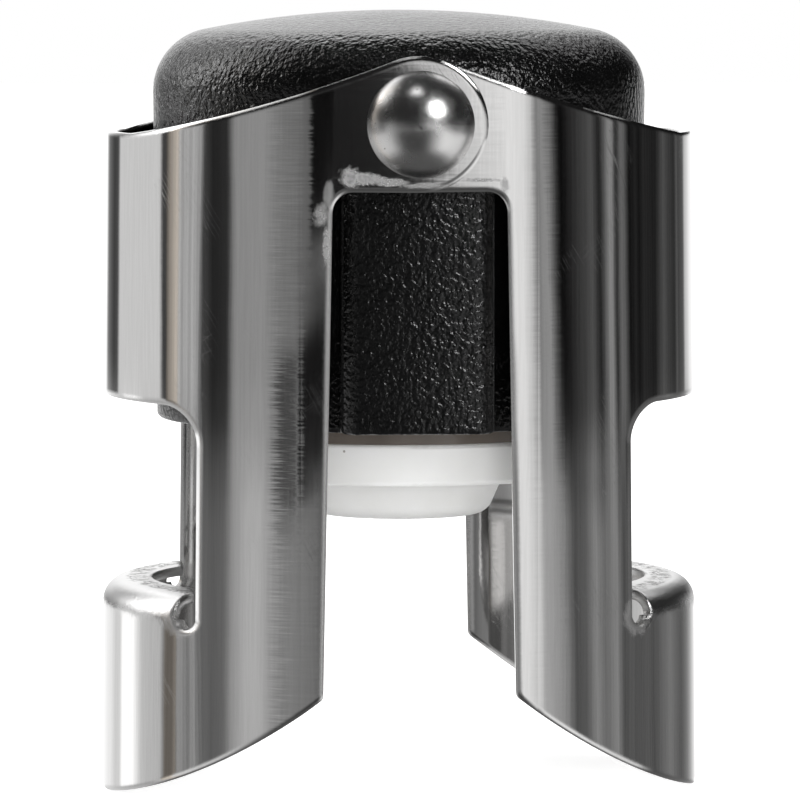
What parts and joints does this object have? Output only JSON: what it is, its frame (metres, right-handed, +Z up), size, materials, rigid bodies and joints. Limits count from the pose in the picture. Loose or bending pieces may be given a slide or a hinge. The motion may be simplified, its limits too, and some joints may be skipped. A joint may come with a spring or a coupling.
{
  "type": "champagne stopper",
  "caption": "Champagne stopper: domed plastic cap over a sprung seal, with a pair of half-round steel wings on side rivets that hook under the bottle's bead.",
  "frame": {"origin": "on the surface that the wings' feet stand on, midway between them, under the cap's axis", "axes": "+Z up along the bottle's axis, towards the cap; Y along the pivot axis, the front rivet on the -Y side; X across the wings, the right wing on +X"},
  "size_m": [0.046, 0.0486, 0.0595],
  "materials": {
    "body_plastic": "black, fine spark-eroded texture",
    "polished_steel": "polished stainless sheet, lightly scratched",
    "rivet_steel": "polished domed head",
    "plunger_plastic": "glossy dark brown-grey",
    "seal_rubber": "white silicone, slightly soft sheen",
    "spring_steel": "plain bright wire and turned steel"
  },
  "bodies": {
    "cap": {"body": "body_plastic", "front_rivet": "rivet_steel", "rear_rivet": "rivet_steel", "spring": "spring_steel", "stop_washer": "spring_steel", "stop_screw": "spring_steel"},
    "left_wing": {"left_wing": "polished_steel"},
    "right_wing": {"right_wing": "polished_steel"},
    "plunger": {"plunger": "plunger_plastic", "seal": "seal_rubber"}
  },
  "joints": [
    {"name": "left_wing_pivot", "type": "hinge", "parent": "cap", "child": "left_wing", "pos_m": [0, 0, 0.05125], "axis": [0, 1, 0], "range_deg": [-7.5, 65]},
    {"name": "right_wing_pivot", "type": "hinge", "parent": "cap", "child": "right_wing", "pos_m": [0, 0, 0.05125], "axis": [0, -1, 0], "range_deg": [-7.5, 65]},
    {"name": "seal_press", "type": "slide", "parent": "cap", "child": "plunger", "axis": [0, 0, 1], "range_m": [0, 0.0024], "stiffness_N_per_m": 5000, "springref_m": -0.005, "deforming": ["spring"]}
  ]
}
